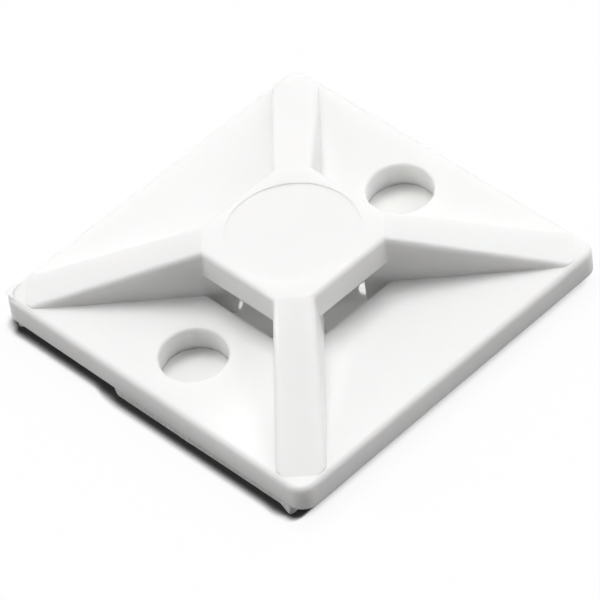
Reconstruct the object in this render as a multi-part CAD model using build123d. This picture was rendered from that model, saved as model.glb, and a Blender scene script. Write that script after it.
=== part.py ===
from build123d import *
import math
import os

# All sizes in millimetres. The origin is at the middle of the underside, +Z up,
# and X runs through the two screw holes.

# Base plate
plate_side = 28.0
plate_thickness = 1.8
plate_corner_radius = 1.2
plate_edge_radius = 0.45

# Raised crown, and the four ribs that run from it to the plate's corners
crown_side = 10.3
crown_rise = 3.6
rib_width = 2.65
rib_tip_margin = 1.7
mould_draft = 5.0
top_edge_radius = 0.35

# Way for the ties under the crown, in both directions, and the round core that shapes it
tie_slot_height = 1.7
core_diameter = 9.3

# Shallow round mark that the tool's insert leaves on top of the crown
insert_mark_diameter = 9.15
insert_mark_depth = 0.08

# Screw holes, midway between the crown's foot and the plate's edge
screw_hole_diameter = 4.6
screw_hole_rim_radius = 0.2

# Foam pad, stuck on a little off the middle and a touch askew
pad_margin = 1.0
pad_thickness = 0.9
pad_turn = 0.4
pad_shift_x = -0.87
pad_shift_y = 0.3

# Levels
plate_base = pad_thickness
plate_top = plate_base + plate_thickness
crown_top = plate_top + crown_rise

# Walls above the plate lean inwards, so each foot is wider than its top
draft_slope = math.tan(math.radians(mould_draft))
crown_foot = crown_side + 2 * crown_rise * draft_slope
rib_foot = rib_width + 2 * crown_rise * draft_slope

# Distances from the part's axis along a rib's centre line
corner_reach = plate_side / math.sqrt(2)
rib_crease = (crown_side * math.sqrt(2) - rib_width) / 2
rib_tip = corner_reach - rib_tip_margin
rib_fall = crown_rise / (rib_tip - rib_crease)

# Turns that lay a bar on each of the plate's diagonals
rib_turns = (45, -45)


def on_level(height, sketch):
    """A sketch laid flat at a height."""
    return Plane.XY.offset(height) * sketch


def plate_blank():
    """Square plate with rounded corners and a soft top edge."""
    outline = RectangleRounded(plate_side, plate_side, plate_corner_radius)
    plate = extrude(on_level(plate_base, outline), amount=plate_thickness)
    return fillet(plate.faces().sort_by(Axis.Z)[-1].edges(), plate_edge_radius)


def drafted_bar(length, width, base, height, turn=0):
    """Bar across the part's axis whose sides lean inwards, with its given width at the plate's top."""
    widening = 2 * (plate_top - base) * draft_slope
    foot = Rot(0, 0, turn) * Rectangle(length + widening, width + widening)
    return extrude(on_level(base, foot), amount=height, taper=mould_draft)


def rib_roof(depth):
    """Four planes that fall from the crown's corners to the plate, carried on down by a depth."""
    high = 2 * rib_crease
    low = 2 * (rib_tip + depth / rib_fall)
    head = Rot(0, 0, 45) * Rectangle(high, high)
    foot = Rot(0, 0, 45) * Rectangle(low, low)
    return loft([on_level(plate_top - depth, foot), on_level(crown_top, head)], ruled=True)


def is_soft_edge(edge):
    """True on the long edges of the crown's and ribs' tops, and not on the creases between them."""
    start, end = edge.position_at(0), edge.position_at(1)
    run = end - start
    at_top = max(start.Z, end.Z) > crown_top - top_edge_radius / 10
    level = abs(run.Z) < top_edge_radius / 10
    crease = level and abs(abs(run.X) - abs(run.Y)) < top_edge_radius / 10
    return at_top and not crease and edge.length > top_edge_radius


def crown_and_ribs():
    """Crown and ribs as one drafted block under the falling rib tops, with soft top edges."""
    # The block starts inside the plate, so its soft edges run out past the rib tips
    depth = plate_thickness / 2
    base = plate_top - depth
    block = drafted_bar(crown_foot, crown_foot, base, crown_rise + depth)
    for turn in rib_turns:
        block += drafted_bar(2 * corner_reach, rib_foot, base, crown_rise + depth, turn)
    block &= rib_roof(depth)
    block = fillet([edge for edge in block.edges() if is_soft_edge(edge)], top_edge_radius)
    return block & rib_tip_trim()


def rib_tip_trim():
    """Space over the flat of the plate's top, so that the rib tips stop where its soft edge starts."""
    flat = plate_side - 2 * plate_edge_radius
    outline = RectangleRounded(flat, flat, plate_corner_radius - plate_edge_radius)
    return extrude(on_level(plate_top, outline), amount=crown_rise)


def tie_passage():
    """The core's shape: a window through the plate and the tie slots over it, round between the rib roots."""
    mouth = Rectangle(crown_foot, crown_foot)
    bars = Rectangle(2 * corner_reach, rib_foot)
    core = Circle(core_diameter / 2)
    window_plan = mouth - [Rot(0, 0, turn) * bars for turn in rib_turns] + core
    window = extrude(on_level(plate_base, window_plan), amount=plate_thickness)
    slots = extrude(on_level(plate_top, mouth), amount=tie_slot_height)
    for turn in rib_turns:
        slots -= drafted_bar(2 * corner_reach, rib_foot, plate_top, tie_slot_height, turn)
    slots += extrude(on_level(plate_top, core), amount=tie_slot_height)
    return window + slots


def screw_holes():
    """Two straight holes through the plate, in line on X."""
    spacing = (crown_foot + plate_side) / 2
    spots = GridLocations(spacing, 0, 2, 1)
    holes = [spot * Circle(screw_hole_diameter / 2) for spot in spots]
    return extrude(on_level(plate_base, Sketch() + holes), amount=plate_thickness)


def insert_mark():
    """Shallow round recess on top of the crown."""
    disc = Circle(insert_mark_diameter / 2)
    return extrude(on_level(crown_top, disc), amount=-insert_mark_depth)


def is_hole_rim(edge):
    """True on the round edges where the screw holes meet the plate's top."""
    if edge.geom_type != GeomType.CIRCLE:
        return False
    at_top = abs(edge.center().Z - plate_top) < screw_hole_rim_radius / 10
    return at_top and abs(edge.radius - screw_hole_diameter / 2) < screw_hole_rim_radius / 10


def mount_body():
    """The whole moulding."""
    body = plate_blank() + crown_and_ribs()
    body -= tie_passage()
    body -= screw_holes()
    body = fillet([edge for edge in body.edges() if is_hole_rim(edge)], screw_hole_rim_radius)
    return body - insert_mark()


def foam_pad():
    """Square foam pad under the plate, turned and shifted a little."""
    side = plate_side - 2 * pad_margin
    place = Pos(pad_shift_x, pad_shift_y, 0) * Rot(0, 0, pad_turn)
    return place * extrude(Rectangle(side, side), amount=pad_thickness)


if __name__ == "__main__":
    os.makedirs("parts", exist_ok=True)
    export_step(mount_body(), "parts/mount_body.step")
    export_step(foam_pad(), "parts/foam_pad.step")
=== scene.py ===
# %% [markdown]
# # A moulded cable tie mount on its foam pad
#
# The real thing is two pieces. A square nylon moulding has a raised crown on four ribs,
# with slots under the crown for the ties and two screw holes in its plate. A thin foam
# pad with adhesive on both faces is stuck under it, a little askew.
# The moulding comes from the CAD frame with its shape right, so the work here is its
# surface. The foam is soft and cut, so it is built here as a piece of its own.

# %% Load the frame and keep its meshes
import math

import bpy
from mathutils import Matrix, Vector


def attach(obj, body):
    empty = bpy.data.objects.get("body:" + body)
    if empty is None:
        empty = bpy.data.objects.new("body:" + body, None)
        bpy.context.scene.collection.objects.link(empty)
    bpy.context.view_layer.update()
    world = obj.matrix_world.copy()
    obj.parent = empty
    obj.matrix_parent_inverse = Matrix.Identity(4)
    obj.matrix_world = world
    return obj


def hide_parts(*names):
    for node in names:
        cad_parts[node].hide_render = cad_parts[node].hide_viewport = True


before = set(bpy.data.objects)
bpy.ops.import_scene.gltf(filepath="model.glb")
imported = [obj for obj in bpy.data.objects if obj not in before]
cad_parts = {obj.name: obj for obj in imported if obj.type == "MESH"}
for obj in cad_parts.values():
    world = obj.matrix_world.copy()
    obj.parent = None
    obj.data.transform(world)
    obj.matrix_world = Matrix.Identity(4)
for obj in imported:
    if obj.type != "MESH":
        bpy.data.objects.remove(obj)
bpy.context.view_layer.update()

MM = 0.001

# %% [markdown]
# ## Small helpers
#
# A hex colour is written as the eye sees it on a screen, while the shader works in linear
# light, so one function turns one into the other. Another adds a node with its settings
# and links in one call, which keeps each material below down to a list of its steps. It
# takes a node as a value too, and links that node's first output that is in use.

# %% Colour and node helpers
def linear(hex_colour):
    """A colour written as sRGB hex, as the linear RGBA that a shader takes."""
    parts = [int(hex_colour[i:i + 2], 16) / 255 for i in (0, 2, 4)]
    bright = [c / 12.92 if c <= 0.04045 else ((c + 0.055) / 1.055) ** 2.4 for c in parts]
    return (*bright, 1.0)


def add(tree, kind, settings=None, *values, **inputs):
    """Adds a node with its properties. Values fill its inputs in order, the others by name."""
    node = tree.nodes.new(kind)
    for name, value in (settings or {}).items():
        setattr(node, name, value)
    named = {socket.identifier.replace(" ", "_"): socket for socket in node.inputs}
    filled = list(zip(node.inputs, values)) + [(named[n], value) for n, value in inputs.items()]
    for socket, value in filled:
        if isinstance(value, bpy.types.Node):
            value = next(output for output in value.outputs if output.enabled)
        if isinstance(value, bpy.types.NodeSocket):
            tree.links.new(value, socket)
        else:
            socket.default_value = value
    return node


def new_material(name):
    """An empty node material, and its tree."""
    material = bpy.data.materials.new(name)
    material.use_nodes = True
    material.node_tree.nodes.clear()
    return material, material.node_tree


def per_metre(size_mm):
    """How many times a pattern of a size in millimetres repeats in a metre."""
    return 1.0 / (size_mm * MM)


print("a grey of 808080 is", round(linear("808080")[0], 3), "in linear light")

# %% [markdown]
# ## White nylon, injection moulded
#
# Nylon 6/6 comes out of a polished tool with a satin skin. It is a little translucent, so
# its edges glow softly, and it is never quite even: the skin has a faint haze where the
# melt flowed. A flat white would look like paper, so the colour drifts by a shade over a
# few millimetres, the roughness drifts with it, and a small bump stands for the grain of
# the tool. The grain is drawn coarser than the real one, which is too fine to show.

# %% Nylon material
NYLON_WHITE = linear("F6F6F5")
NYLON_HAZE = linear("F3F3F2")
NYLON_ROUGHNESS = (0.36, 0.46)
NYLON_IOR = 1.53
FLOW_MM = 5.0
GRAIN_MM = 0.12
GRAIN_HEIGHT_MM = 0.004
GRAIN_STRENGTH = 0.08
# How far light wanders inside, and how red, green and blue share in that
GLOW_MM = 0.8
GLOW_RGB = (1.0, 0.95, 0.9)


def nylon_material():
    """Moulded nylon: a satin white with a soft glow at its edges."""
    material, tree = new_material("nylon_66_moulded_satin")
    place = add(tree, "ShaderNodeTexCoord").outputs["Object"]
    flow = add(tree, "ShaderNodeTexNoise", Vector=place, Scale=per_metre(FLOW_MM), Detail=2.0)
    grain = add(tree, "ShaderNodeTexNoise", Vector=place, Scale=per_metre(GRAIN_MM), Detail=3.0)
    colour = add(tree, "ShaderNodeMix", {"data_type": "RGBA"}, Factor_Float=flow,
                 A_Color=NYLON_WHITE, B_Color=NYLON_HAZE)
    rough = add(tree, "ShaderNodeMapRange", Value=flow, To_Min=NYLON_ROUGHNESS[0],
                To_Max=NYLON_ROUGHNESS[1])
    bump = add(tree, "ShaderNodeBump", Strength=GRAIN_STRENGTH,
               Distance=GRAIN_HEIGHT_MM * MM, Height=grain)
    shader = add(tree, "ShaderNodeBsdfPrincipled", Base_Color=colour, Roughness=rough,
                 IOR=NYLON_IOR, Normal=bump, Subsurface_Weight=1.0,
                 Subsurface_Radius=GLOW_RGB, Subsurface_Scale=GLOW_MM * MM)
    add(tree, "ShaderNodeOutputMaterial", Surface=shader)
    return material


NYLON = nylon_material()
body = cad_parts["mount_body"]
body.data.materials.clear()
body.data.materials.append(NYLON)
print("moulding:", len(body.data.polygons), "faces from the frame")

# %% [markdown]
# ## The foam pad
#
# The pad is closed-cell foam with adhesive film on both faces, cut from a sheet by a
# die. Its shape follows a rule: a rounded square of a given thickness whose cut side
# wanders a little and opens half a cell here and there. On the left of the photograph
# the cut also falls short of the rest for a stretch, and the corner in front is pressed
# down and spreads outwards at the floor. So a Geometry Nodes tree makes the pad from a
# cylinder: the ring of points is pushed out to a square, and two textures and two placed
# rules move the points of the side. A modelled block with a bump map would have a
# ruler-straight edge, and the photographed edge isn't straight.

# %% Sizes of the pad
PAD_SIDE_MM = 26.0
PAD_CORNER_MM = 0.35
PAD_TOP_MM = 0.88
PAD_TURN_DEG = 0.4
PAD_SHIFT_MM = (-0.87, 0.3)
# The foam's cells, and how deep the blade leaves an opened one
CELL_MM = 0.22
CELL_DEPTH_MM = 0.07
# The blade's line, and the length over which it sways
WANDER_MM = 0.05
WANDER_LENGTH_MM = 2.4
# Where the short stretch starts along Y, and where it is fully short
SHORT_FROM_MM = (3.0, 4.4)
SHORT_BY_MM = 0.55
# The corner in front
SPREAD_MM = 0.32
SPREAD_REACH_MM = 1.5
RING_POINTS = 960
SIDE_ROWS = 10

print("the pad's side has rows", round(PAD_TOP_MM / SIDE_ROWS, 3), "mm apart and points",
      round(4 * PAD_SIDE_MM / RING_POINTS, 3), "mm apart")

# %% [markdown]
# ## Foam and adhesive film
#
# The cut side of polyethylene foam shows its cells: the opened ones are pits, with
# bright walls and a floor in shade, which the colour paints as a darker middle; nothing in
# it is glossy. The faces are an acrylic adhesive film, which is clear and as glossy as a
# wet surface over the white foam, and lies in shallow ripples. In the shade under the
# crown its gloss is what shows: it mirrors the light that stands behind the far slots.
# One material for the whole pad would have to be matt or glossy all over, so the film's
# is a white base under a clear coat, and the cut foam has a matt one of its own.

# %% Foam materials
# The darker colour is painted shade, given to the middle of each opened cell where its pit lies
FOAM_WALL = linear("F4F4F2")
FOAM_PIT_PAINTED_SHADE = linear("D8D8D5")
FOAM_ROUGHNESS = 0.9
# The fine skin of a cell's wall, and its share in the relief
SKIN_MM = CELL_MM / 3
SKIN_SHARE = 0.3
RELIEF_MM = 0.04
RELIEF_STRENGTH = 0.5

FILM_WHITE = linear("F5F5F3")
FILM_CLOUD = linear("F0F0EE")
FILM_ROUGHNESS = 0.5
FILM_CLOUD_MM = 1.5
COAT_ROUGHNESS = 0.08
RIPPLE_MM = 0.9
RIPPLE_HEIGHT_MM = 0.008
ACRYLIC_IOR = 1.49


def cut_foam_material():
    """Polyethylene foam, die cut: matt, with opened cells darkened in the middle by painted shade.
    """
    material, tree = new_material("polyethylene_foam_die_cut")
    place = add(tree, "ShaderNodeTexCoord").outputs["Object"]
    cells = add(tree, "ShaderNodeTexVoronoi", Vector=place, Scale=per_metre(CELL_MM))
    skin = add(tree, "ShaderNodeTexNoise", Vector=place, Scale=per_metre(SKIN_MM), Detail=2.0)
    depth = add(tree, "ShaderNodeMath", {"operation": "MULTIPLY_ADD"}, skin, SKIN_SHARE, cells)
    # Painted shade: each cell's colour darkens towards its middle, where the pit is deepest
    colour = add(tree, "ShaderNodeMix", {"data_type": "RGBA"}, Factor_Float=cells,
                 A_Color=FOAM_PIT_PAINTED_SHADE, B_Color=FOAM_WALL)
    bump = add(tree, "ShaderNodeBump", Strength=RELIEF_STRENGTH, Distance=RELIEF_MM * MM,
               Height=depth)
    shader = add(tree, "ShaderNodeBsdfPrincipled", Base_Color=colour,
                 Roughness=FOAM_ROUGHNESS, Normal=bump)
    add(tree, "ShaderNodeOutputMaterial", Surface=shader)
    return material


def film_material():
    """Acrylic film on foam: a faintly cloudy white under a clear, rippled, wet-looking coat."""
    material, tree = new_material("acrylic_adhesive_film")
    place = add(tree, "ShaderNodeTexCoord").outputs["Object"]
    cloud = add(tree, "ShaderNodeTexNoise", Vector=place, Scale=per_metre(FILM_CLOUD_MM),
                Detail=2.0)
    ripple = add(tree, "ShaderNodeTexNoise", Vector=place, Scale=per_metre(RIPPLE_MM), Detail=1.0)
    colour = add(tree, "ShaderNodeMix", {"data_type": "RGBA"}, Factor_Float=cloud,
                 A_Color=FILM_WHITE, B_Color=FILM_CLOUD)
    bump = add(tree, "ShaderNodeBump", Strength=1.0, Distance=RIPPLE_HEIGHT_MM * MM, Height=ripple)
    shader = add(tree, "ShaderNodeBsdfPrincipled", Base_Color=colour, Roughness=FILM_ROUGHNESS,
                 IOR=ACRYLIC_IOR, Coat_Weight=1.0, Coat_Roughness=COAT_ROUGHNESS,
                 Coat_IOR=ACRYLIC_IOR, Coat_Normal=bump)
    add(tree, "ShaderNodeOutputMaterial", Surface=shader)
    return material


CUT_FOAM = cut_foam_material()
FILM = film_material()
print("foam materials:", CUT_FOAM.name, "and", FILM.name)

# %% [markdown]
# ## The outline of the pad as a rule
#
# The ring of a cylinder lies on a circle. Dividing a point by the larger of its two
# coordinates puts it on a square, and pulling it back to a smaller square and out again
# by a fixed distance rounds the corners. The direction of that last step points straight
# out of the side, and the next rules push along it. A cube with bevelled corners would
# give the same outline, but its points wouldn't lie evenly along the side.

# %% Outline of the pad
def squared_outline(tree, side, corner):
    """Moves a point of the unit circle to a square with rounded corners."""
    spot = add(tree, "GeometryNodeInputPosition")
    flat = add(tree, "ShaderNodeVectorMath", {"operation": "MULTIPLY"}, spot, (1.0, 1.0, 0.0))
    size = add(tree, "ShaderNodeVectorMath", {"operation": "ABSOLUTE"}, flat)
    parts = add(tree, "ShaderNodeSeparateXYZ", Vector=size).outputs
    reach = add(tree, "ShaderNodeMath", {"operation": "MAXIMUM"}, parts["X"], parts["Y"])
    half = add(tree, "ShaderNodeMath", {"operation": "MULTIPLY"}, side, 0.5)
    growth = add(tree, "ShaderNodeMath", {"operation": "DIVIDE"}, half, reach)
    square = add(tree, "ShaderNodeVectorMath", {"operation": "SCALE"}, flat, Scale=growth)
    inner = add(tree, "ShaderNodeMath", {"operation": "SUBTRACT"}, half, corner)
    high = add(tree, "ShaderNodeCombineXYZ", X=inner, Y=inner)
    low = add(tree, "ShaderNodeVectorMath", {"operation": "SCALE"}, high, Scale=-1.0)
    capped = add(tree, "ShaderNodeVectorMath", {"operation": "MINIMUM"}, square, high)
    core = add(tree, "ShaderNodeVectorMath", {"operation": "MAXIMUM"}, capped, low)
    away = add(tree, "ShaderNodeVectorMath", {"operation": "SUBTRACT"}, square, core)
    outward = add(tree, "ShaderNodeVectorMath", {"operation": "NORMALIZE"}, away)
    step = add(tree, "ShaderNodeVectorMath", {"operation": "SCALE"}, outward, Scale=corner)
    return add(tree, "ShaderNodeVectorMath", {"operation": "ADD"}, core, step), outward


print("the corners start", PAD_SIDE_MM / 2 - PAD_CORNER_MM, "mm from the middle lines")

# %% [markdown]
# ## The cut edge
#
# A die's blade bends a little in soft foam, so its line sways slowly, which a noise
# texture gives. Where it passes through a cell it opens a pit, which a Voronoi texture
# gives. The short stretch is a smooth step along Y, and it counts only on the side that
# faces left. The seed moves both textures to another place, for another pad.

# %% Cut edge of the pad
# How far a pit reaches from its cell's middle, in cells
PIT_REACH = 0.9
# A noise texture is about a half on the whole, so twice its value is about one
NOISE_TO_ONE = 2.0


def cut_depth(tree, place, outward, given):
    """How far the blade's line lies in from the square, and how much deeper an opened cell goes."""
    offset = add(tree, "ShaderNodeCombineXYZ", Z=given["Seed"])
    seeded = add(tree, "ShaderNodeVectorMath", {"operation": "ADD"}, place, offset)
    per_sway = add(tree, "ShaderNodeMath", {"operation": "DIVIDE"}, 1.0, given["Wander length"])
    slow = add(tree, "ShaderNodeTexNoise", Vector=seeded, Scale=per_sway, Detail=3.0)
    width = add(tree, "ShaderNodeMath", {"operation": "MULTIPLY"}, given["Wander"], NOISE_TO_ONE)
    wander = add(tree, "ShaderNodeMath", {"operation": "MULTIPLY"}, slow, width)
    along = add(tree, "ShaderNodeSeparateXYZ", Vector=place).outputs["Y"]
    step = add(tree, "ShaderNodeMapRange", {"interpolation_type": "SMOOTHSTEP"}, Value=along,
               From_Min=given["Short from"], From_Max=given["Short fully by"],
               To_Max=given["Short by"])
    facing = add(tree, "ShaderNodeSeparateXYZ", Vector=outward).outputs["X"]
    leftward = add(tree, "ShaderNodeMath", {"operation": "MULTIPLY"}, facing, -1.0)
    on_left = add(tree, "ShaderNodeMath", {"operation": "MAXIMUM"}, 0.0, leftward)
    short = add(tree, "ShaderNodeMath", {"operation": "MULTIPLY"}, step, on_left)
    per_cell = add(tree, "ShaderNodeMath", {"operation": "DIVIDE"}, 1.0, given["Cell size"])
    cells = add(tree, "ShaderNodeTexVoronoi", Vector=seeded, Scale=per_cell)
    inside = add(tree, "ShaderNodeMath", {"operation": "SUBTRACT"}, PIT_REACH, cells)
    pit = add(tree, "ShaderNodeMath", {"operation": "MAXIMUM"}, inside, 0.0)
    blade = add(tree, "ShaderNodeMath", {"operation": "ADD"}, wander, short)
    return blade, add(tree, "ShaderNodeMath", {"operation": "MULTIPLY"}, pit, given["Cell depth"])


print("an opened cell is up to", round(PIT_REACH * CELL_DEPTH_MM, 3), "mm deep")

# %% [markdown]
# ## The corner in front
#
# Pressed foam spreads most where nothing holds it: at the corner, and at the floor. So
# the push to the left depends on how far a point is from the corner's lowest point, and
# fades out smoothly. A sculpted bulge would look the same, but couldn't be sized again.

# %% Spread corner
def corner_spread(tree, place, given):
    """How far the corner in front spreads to the left."""
    low_side = add(tree, "ShaderNodeMath", {"operation": "MULTIPLY"}, given["Side"], -0.5)
    floor_level = add(tree, "ShaderNodeMath", {"operation": "MULTIPLY"}, given["Thickness"], -0.5)
    corner = add(tree, "ShaderNodeCombineXYZ", X=low_side, Y=low_side, Z=floor_level)
    away = add(tree, "ShaderNodeVectorMath", {"operation": "DISTANCE"}, place, corner)
    near = add(tree, "ShaderNodeMapRange", {"interpolation_type": "SMOOTHSTEP"}, Value=away,
               From_Max=given["Spread reach"], To_Min=given["Spread"], To_Max=0.0)
    leftward = add(tree, "ShaderNodeMath", {"operation": "MULTIPLY"}, near, -1.0)
    return add(tree, "ShaderNodeCombineXYZ", X=leftward)


print("the corner spreads by", SPREAD_MM, "mm within", SPREAD_REACH_MM, "mm")

# %% [markdown]
# ## The whole tree
#
# The tree takes every size as a named input, so another pad needs other numbers and no
# other nodes. The rows at the film's edges move only with the blade's line, and the rows
# between also take the pits. The cylinder knows which of its faces are its side, and that
# tells the cut foam from the film. Realize Instances and Set Material come last: the
# export drops instances, and a new face has no material until it is given one.

# %% Tree of the pad
PAD_INPUTS = {
    "Side": PAD_SIDE_MM * MM,
    "Corner radius": PAD_CORNER_MM * MM,
    "Thickness": PAD_TOP_MM * MM,
    "Turn": math.radians(PAD_TURN_DEG),
    "Shift X": PAD_SHIFT_MM[0] * MM,
    "Shift Y": PAD_SHIFT_MM[1] * MM,
    "Wander": WANDER_MM * MM,
    "Wander length": WANDER_LENGTH_MM * MM,
    "Short from": SHORT_FROM_MM[0] * MM,
    "Short fully by": SHORT_FROM_MM[1] * MM,
    "Short by": SHORT_BY_MM * MM,
    "Spread": SPREAD_MM * MM,
    "Spread reach": SPREAD_REACH_MM * MM,
    "Cell size": CELL_MM * MM,
    "Cell depth": CELL_DEPTH_MM * MM,
    "Seed": 0.35,
    "Cut side": CUT_FOAM,
    "Faces": FILM,
}
# Rows further from the middle than this share of the thickness are the film's edges
RIM_SHARE = 0.49


def new_tree(name, inputs):
    """A geometry tree with named inputs, and the outputs of its input node."""
    tree = bpy.data.node_groups.new(name, "GeometryNodeTree")
    for label, value in inputs.items():
        is_material = isinstance(value, bpy.types.Material)
        kind = "NodeSocketMaterial" if is_material else "NodeSocketFloat"
        tree.interface.new_socket(label, in_out="INPUT", socket_type=kind)
    tree.interface.new_socket("Mesh", in_out="OUTPUT", socket_type="NodeSocketGeometry")
    return tree, add(tree, "NodeGroupInput").outputs


def cut_ring(tree, drum, given):
    """The cylinder with its points moved to the pad's outline, cut edge and spread corner."""
    outline, outward = squared_outline(tree, given["Side"], given["Corner radius"])
    spot = add(tree, "GeometryNodeInputPosition")
    level = add(tree, "ShaderNodeSeparateXYZ", Vector=spot).outputs["Z"]
    lift = add(tree, "ShaderNodeCombineXYZ", Z=level)
    place = add(tree, "ShaderNodeVectorMath", {"operation": "ADD"}, outline, lift)
    blade, opened = cut_depth(tree, place, outward, given)
    rim = add(tree, "ShaderNodeMath", {"operation": "MULTIPLY"}, given["Thickness"], RIM_SHARE)
    height = add(tree, "ShaderNodeMath", {"operation": "ABSOLUTE"}, level)
    between = add(tree, "ShaderNodeMath", {"operation": "LESS_THAN"}, height, rim)
    inward = add(tree, "ShaderNodeMath", {"operation": "MULTIPLY_ADD"}, opened, between, blade)
    step = add(tree, "ShaderNodeVectorMath", {"operation": "SCALE"}, outward, Scale=inward)
    cut = add(tree, "ShaderNodeVectorMath", {"operation": "SUBTRACT"}, place, step)
    return add(tree, "GeometryNodeSetPosition", Geometry=drum, Position=cut,
               Offset=corner_spread(tree, place, given))


def pad_tree():
    """The whole rule: a cylinder squared, cut, placed and given its two materials."""
    tree, given = new_tree("die_cut_pad", PAD_INPUTS)
    drum = add(tree, "GeometryNodeMeshCylinder", {"fill_type": "NGON"}, Vertices=RING_POINTS,
               Side_Segments=SIDE_ROWS, Radius=1.0, Depth=given["Thickness"])
    rise = add(tree, "ShaderNodeMath", {"operation": "MULTIPLY"}, given["Thickness"], 0.5)
    shift = add(tree, "ShaderNodeCombineXYZ", X=given["Shift X"], Y=given["Shift Y"], Z=rise)
    turn = add(tree, "ShaderNodeCombineXYZ", Z=given["Turn"])
    placed = add(tree, "GeometryNodeTransform", Geometry=cut_ring(tree, drum, given),
                 Translation=shift, Rotation=turn)
    real = add(tree, "GeometryNodeRealizeInstances", Geometry=placed)
    faces = add(tree, "GeometryNodeSetMaterial", Geometry=real, Material=given["Faces"])
    sides = add(tree, "GeometryNodeSetMaterial", Geometry=faces,
                Selection=drum.outputs["Side"], Material=given["Cut side"])
    add(tree, "NodeGroupOutput", None, sides)
    return tree


PAD_TREE = pad_tree()
print("pad tree:", len(PAD_TREE.nodes), "nodes and", len(PAD_INPUTS), "inputs")

# %% [markdown]
# ## From the tree to a piece
#
# The tree runs as a modifier on an empty mesh. Its inputs are set by each socket's
# identifier, which stays the same when a socket is renamed, and before the tree first
# runs. The result is kept as a plain mesh, and the modifier goes with its holder.

# %% Run the tree and keep its mesh
def into_scene(name, data):
    """A new object in the scene, at the origin."""
    thing = bpy.data.objects.new(name, data)
    bpy.context.scene.collection.objects.link(thing)
    return thing


def from_tree(name, tree, inputs):
    """Sets a tree's inputs on an empty mesh, runs it and keeps the result as a plain piece."""
    holder = into_scene(f"{name}_rule", bpy.data.meshes.new(f"{name}_rule"))
    rule = holder.modifiers.new("rule", "NODES")
    rule.node_group = tree
    items = [item for item in tree.interface.items_tree if item.in_out == "INPUT"]
    sockets = {item.name: item.identifier for item in items}
    for label, value in inputs.items():
        rule[sockets[label]] = value
    depsgraph = bpy.context.evaluated_depsgraph_get()
    mesh = bpy.data.meshes.new_from_object(holder.evaluated_get(depsgraph), depsgraph=depsgraph)
    bpy.data.objects.remove(holder)
    mesh.name = name
    return into_scene(name, mesh)


def reach_mm(piece):
    """Lowest and highest corner of a piece, in millimetres."""
    columns = list(zip(*(v.co for v in piece.data.vertices)))
    return [[round(end(column) / MM, 2) for column in columns] for end in (min, max)]


pad = from_tree("foam_pad_cut", PAD_TREE, PAD_INPUTS)
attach(pad, "root")
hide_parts("foam_pad")
print("pad:", len(pad.data.polygons), "faces, reach in mm", reach_mm(pad))

# %% [markdown]
# ## Flash at one corner
#
# Where the two halves of a tool don't quite close, the melt creeps between them and
# leaves a paper-thin fin. The photographed part has one at its left corner, where it fills
# the rounding of the plate's edge. A rule would be longer than the thing itself, because
# it is a few points across, so it is drawn as an outline and given its thickness,
# thinner towards its free edge. Light has no depth to wander in there, so its nylon is
# the same without the translucency.

# %% Corner flash
FLASH_TOP_MM = 2.69
FLASH_ROOT_MM = 0.5
FLASH_TIP_MM = 0.04
# The ragged free edge, and the root line inside the moulding, as seen from above
FLASH_EDGE_MM = [(-13.6, 12.5), (-13.68, 12.75), (-13.7, 13.0), (-13.72, 13.25),
                 (-13.66, 13.5), (-13.66, 13.72), (-13.6, 13.9), (-13.48, 13.96),
                 (-13.3, 13.93), (-13.1, 13.96), (-12.8, 13.9), (-12.4, 13.75)]
FLASH_ROOTS_MM = [(-13.5, 12.5), (-13.5, 12.7), (-13.49, 12.9), (-13.45, 13.05),
                  (-13.4, 13.15), (-13.34, 13.24), (-13.26, 13.32), (-13.18, 13.38),
                  (-13.08, 13.43), (-12.95, 13.47), (-12.75, 13.5), (-12.4, 13.5)]


def fin_material():
    """The moulded nylon, too thin to glow from inside."""
    material = NYLON.copy()
    material.name = "nylon_66_thin_fin"
    shader = next(n for n in material.node_tree.nodes if n.type == "BSDF_PRINCIPLED")
    shader.inputs["Subsurface Weight"].default_value = 0.0
    return material


def from_points(name, points, faces, material):
    """A piece from its points, its faces and one material."""
    mesh = bpy.data.meshes.new(name)
    mesh.from_pydata(points, [], faces)
    mesh.materials.append(material)
    return into_scene(name, mesh)


def corner_flash():
    """Thin fin: four lines of points joined in a ring, and closed at both ends."""
    lines = [(FLASH_EDGE_MM, FLASH_TOP_MM), (FLASH_ROOTS_MM, FLASH_TOP_MM),
             (FLASH_ROOTS_MM, FLASH_TOP_MM - FLASH_ROOT_MM),
             (FLASH_EDGE_MM, FLASH_TOP_MM - FLASH_TIP_MM)]
    points = [(x * MM, y * MM, z * MM) for line, z in lines for x, y in line]
    last = len(FLASH_EDGE_MM) - 1
    starts = [i * len(FLASH_EDGE_MM) for i in range(len(lines))]
    faces = [(a + i, b + i, b + i + 1, a + i + 1)
             for a, b in zip(starts, starts[1:] + starts[:1]) for i in range(last)]
    faces += [tuple(reversed(starts)), tuple(start + last for start in starts)]
    return from_points("corner_flash", points, faces, fin_material())


flash = corner_flash()
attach(flash, "root")
print("flash reach in mm", reach_mm(flash))

# %% [markdown]
# ## Floor
#
# The object stands on a white sweep that the photograph shows as plain white, with only a
# dark line of shadow close to the pad. A real white sheet under these lamps would show
# broad soft shadows. To the eye the floor is therefore a white glow with a painted shadow:
# it fades to black where something stands close over it, which the Ambient Occlusion node
# measures, with a little of the real shadow in it. The node looks out leaning to one side,
# so the painted shadow falls to the left as in the photograph and hardly to the right. A
# second one looks in under the plate on the right and paints the gap over the pad's edge
# as a fine dark line of shade, as the photograph shows it. For light that bounces off it
# the floor is a mid grey, because a white one would light the sides of the plate more than
# the photograph shows.

# %% Floor
FLOOR_HALF_M = 1.5
# A hair under the pad, so that the two never share a plane
FLOOR_LEVEL_MM = -0.02
WHITE = linear("FFFFFF")
FLOOR_BOUNCE = linear("C0C0C0")
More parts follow.
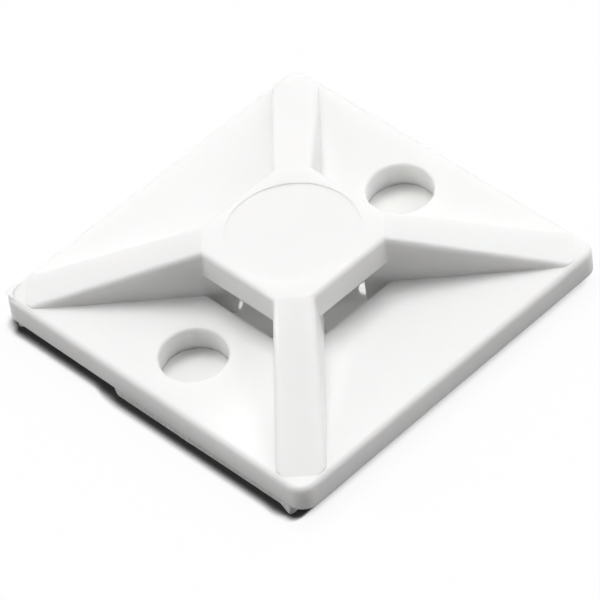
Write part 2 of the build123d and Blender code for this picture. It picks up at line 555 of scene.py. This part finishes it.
# Painted contact shadow: its reach, where it looks, and how open it is where black and white begin
CONTACT_MM = 1.3
CONTACT_LEAN = (0.58, -0.48, 0.66)
CONTACT_DARK = 0.46
CONTACT_CLEAR = 0.86
# The same for the painted line of shade in the gap under the plate
GAP_MM = 0.74
GAP_LOOK = (0.0, 0.98, 0.2)
GAP_DARK = 0.86
GAP_CLEAR = 0.97
REAL_SHADOW = 0.07


def seen_or_mirrored(tree):
    """1 to the eye, also in reflections and through clear things, and 0 to bounced light."""
    path = add(tree, "ShaderNodeLightPath").outputs
    mirrored = add(tree, "ShaderNodeMath", {"operation": "MAXIMUM"}, path["Is Glossy Ray"],
                   path["Is Transmission Ray"])
    return add(tree, "ShaderNodeMath", {"operation": "MAXIMUM"}, path["Is Camera Ray"], mirrored)


def openness(tree, within_mm, direction):
    """How much is open within a reach, looking in one direction: 1 is all, 0 is nothing."""
    look = add(tree, "ShaderNodeCombineXYZ", None, *direction)
    near = add(tree, "ShaderNodeAmbientOcclusion", Distance=within_mm * MM, Normal=look)
    return near.outputs["AO"]


def floor_material():
    """White with a close painted shadow to the eye and in reflections, grey to bounced light."""
    material, tree = new_material("white_paper_sweep")
    # Painted shadow: the white glow dims to black where the floor is closed in near the pad and
    # under the plate
    glow = add(tree, "ShaderNodeMapRange", {"interpolation_type": "SMOOTHSTEP"},
               Value=openness(tree, CONTACT_MM, CONTACT_LEAN),
               From_Min=CONTACT_DARK, From_Max=CONTACT_CLEAR)
    gap = add(tree, "ShaderNodeMapRange", Value=openness(tree, GAP_MM, GAP_LOOK),
              From_Min=GAP_DARK, From_Max=GAP_CLEAR)
    both = add(tree, "ShaderNodeMath", {"operation": "MULTIPLY"}, glow, gap)
    white = add(tree, "ShaderNodeEmission", Color=WHITE, Strength=both)
    paper = add(tree, "ShaderNodeBsdfDiffuse", Color=WHITE)
    look = add(tree, "ShaderNodeMixShader", None, REAL_SHADOW, white, paper)
    grey = add(tree, "ShaderNodeBsdfDiffuse", Color=FLOOR_BOUNCE)
    mix = add(tree, "ShaderNodeMixShader", None, seen_or_mirrored(tree), grey, look)
    add(tree, "ShaderNodeOutputMaterial", Surface=mix)
    return material


def flat_sheet(name, half, height, material):
    """One big square face."""
    corners = [(-half, -half, height), (half, -half, height),
               (half, half, height), (-half, half, height)]
    return from_points(name, corners, [(0, 1, 2, 3)], material)


floor = flat_sheet("floor", FLOOR_HALF_M, FLOOR_LEVEL_MM * MM, floor_material())
print("floor is", 2 * FLOOR_HALF_M, "m wide")

# %% [markdown]
# ## Camera
#
# The place, the turn and the lens come from fitting a camera to the plate's corners and
# edges in the photograph, which is surer than moving one until the picture looks right.
# It looks down at about 45 degrees over the corner in front, from a quarter of a metre
# away with a long lens, so the plate's sides hardly converge.

# %% Camera
EYE_MM = (-126.45, -152.82, 202.90)
# The camera's own three directions
RIGHT = (0.69609, -0.71064, -0.10220)
UP = (0.56332, 0.45235, 0.69141)
BACK = (-0.44512, -0.53886, 0.71520)
SENSOR_MM = 36.0
LENS_MM = 257.37
NEAREST_M = 0.01
FARTHEST_M = 10.0

camera = into_scene("camera", bpy.data.cameras.new("camera"))
camera.data.sensor_width = SENSOR_MM
camera.data.lens = LENS_MM
camera.data.clip_start = NEAREST_M
camera.data.clip_end = FARTHEST_M
turn = Matrix((RIGHT, UP, BACK)).transposed()
camera.matrix_world = Matrix.Translation([v * MM for v in EYE_MM]) @ turn.to_4x4()
bpy.context.scene.camera = camera
print("camera is", round(Vector(EYE_MM).length), "mm from the part, lens", LENS_MM, "mm")

# %% [markdown]
# ## Light
#
# The photograph was taken in soft white light from above and behind, with little of it
# from the camera's side, which is why the tops are nearly white and the near sides are
# mid grey. One even white sky would light all sides alike, so a few broad round patches
# of light stand for that tent. Each patch's share was matched to the tones of the
# photograph's flat faces. The surroundings are white only to the eye and in reflections,
# which gives the nylon its sheen at flat angles.

# %% Light
SKY_PATCH_DEG = 28
# Azimuth and elevation of each patch in degrees, and its share
SKY = [(0, 65, 0.085), (60, 65, 0.437), (120, 65, 0.026),
       (0, 42, 0.153), (135, 42, 0.133), (315, 42, 0.127),
       (0, 20, 0.097), (90, 20, 0.075), (135, 20, 0.197), (315, 20, 0.157)]


def studio_world():
    """White to the eye and in reflections, and dark to the rest, so the lamps give all light."""
    world = bpy.data.worlds.new("studio")
    bpy.context.scene.world = world
    world.use_nodes = True
    world.node_tree.nodes.clear()
    sky = add(world.node_tree, "ShaderNodeBackground", Color=WHITE,
              Strength=seen_or_mirrored(world.node_tree))
    add(world.node_tree, "ShaderNodeOutputWorld", Surface=sky)


def far_lamp(name, azimuth, elevation, share, width_deg):
    """A round patch of light far away. A share of 1 alone would show colours as written."""
    lamp = into_scene(name, bpy.data.lights.new(name, "SUN"))
    lamp.data.angle = math.radians(width_deg)
    lamp.data.energy = share * math.pi
    a, e = math.radians(azimuth), math.radians(elevation)
    towards = Vector((math.cos(a) * math.cos(e), math.sin(a) * math.cos(e), math.sin(e)))
    lamp.rotation_mode = "QUATERNION"
    lamp.rotation_quaternion = (-towards).to_track_quat("-Z", "Y")


studio_world()
for azimuth, elevation, share in SKY:
    far_lamp(f"patch_{azimuth}_{elevation}", azimuth, elevation, share, SKY_PATCH_DEG)
level_light = sum(share * math.sin(math.radians(elevation)) for _, elevation, share in SKY)
print("light on a level white face:", round(level_light, 3))

# %% [markdown]
# ## Gloss lamps
#
# The film under the crown mirrors light that comes in through the far slots, in one small
# patch on each side, and the near left of the plate has a soft white spot. All three come
# from light too small in the sky to light anything else. So small lamps stand where that
# light passes, and they show in reflections alone. Their power follows from the radiance
# that the patch needs, because a ball of light has a radiance of its power divided by
# 4 pi squared r squared.

# %% Gloss lamps
# Place and radius of each lamp in millimetres, and its radiance
GLOSS_LAMPS = {
    "right_slot": ((4.3, -1.35, 3.35), 0.38, 12.0),
    "left_slot": ((-2.05, 4.2, 3.35), 0.3, 9.0),
    "plate_spot": ((-7.54, -1.21, 10.03), 1.0, 16.0),
}


def gloss_lamp(name, place_mm, radius_mm, radiance):
    """A small ball of light that shows in reflections and nowhere else."""
    lamp = into_scene(name, bpy.data.lights.new(name, "POINT"))
    lamp.location = [v * MM for v in place_mm]
    lamp.data.shadow_soft_size = radius_mm * MM
    lamp.data.energy = radiance * 4 * (math.pi * radius_mm * MM) ** 2
    lamp.visible_camera = False
    lamp.visible_diffuse = False
    lamp.visible_transmission = False
    lamp.visible_volume_scatter = False
    return lamp


for name, (place_mm, radius_mm, radiance) in GLOSS_LAMPS.items():
    lamp = gloss_lamp(name, place_mm, radius_mm, radiance)
    print(name, "lamp:", round(lamp.data.energy / MM, 3), "mW")

# %% [markdown]
# ## View
#
# The Standard view keeps the colours as they were written, which suits a white part on a
# white ground; a filmic one would turn both grey.

# %% View
bpy.context.scene.view_settings.view_transform = "Standard"
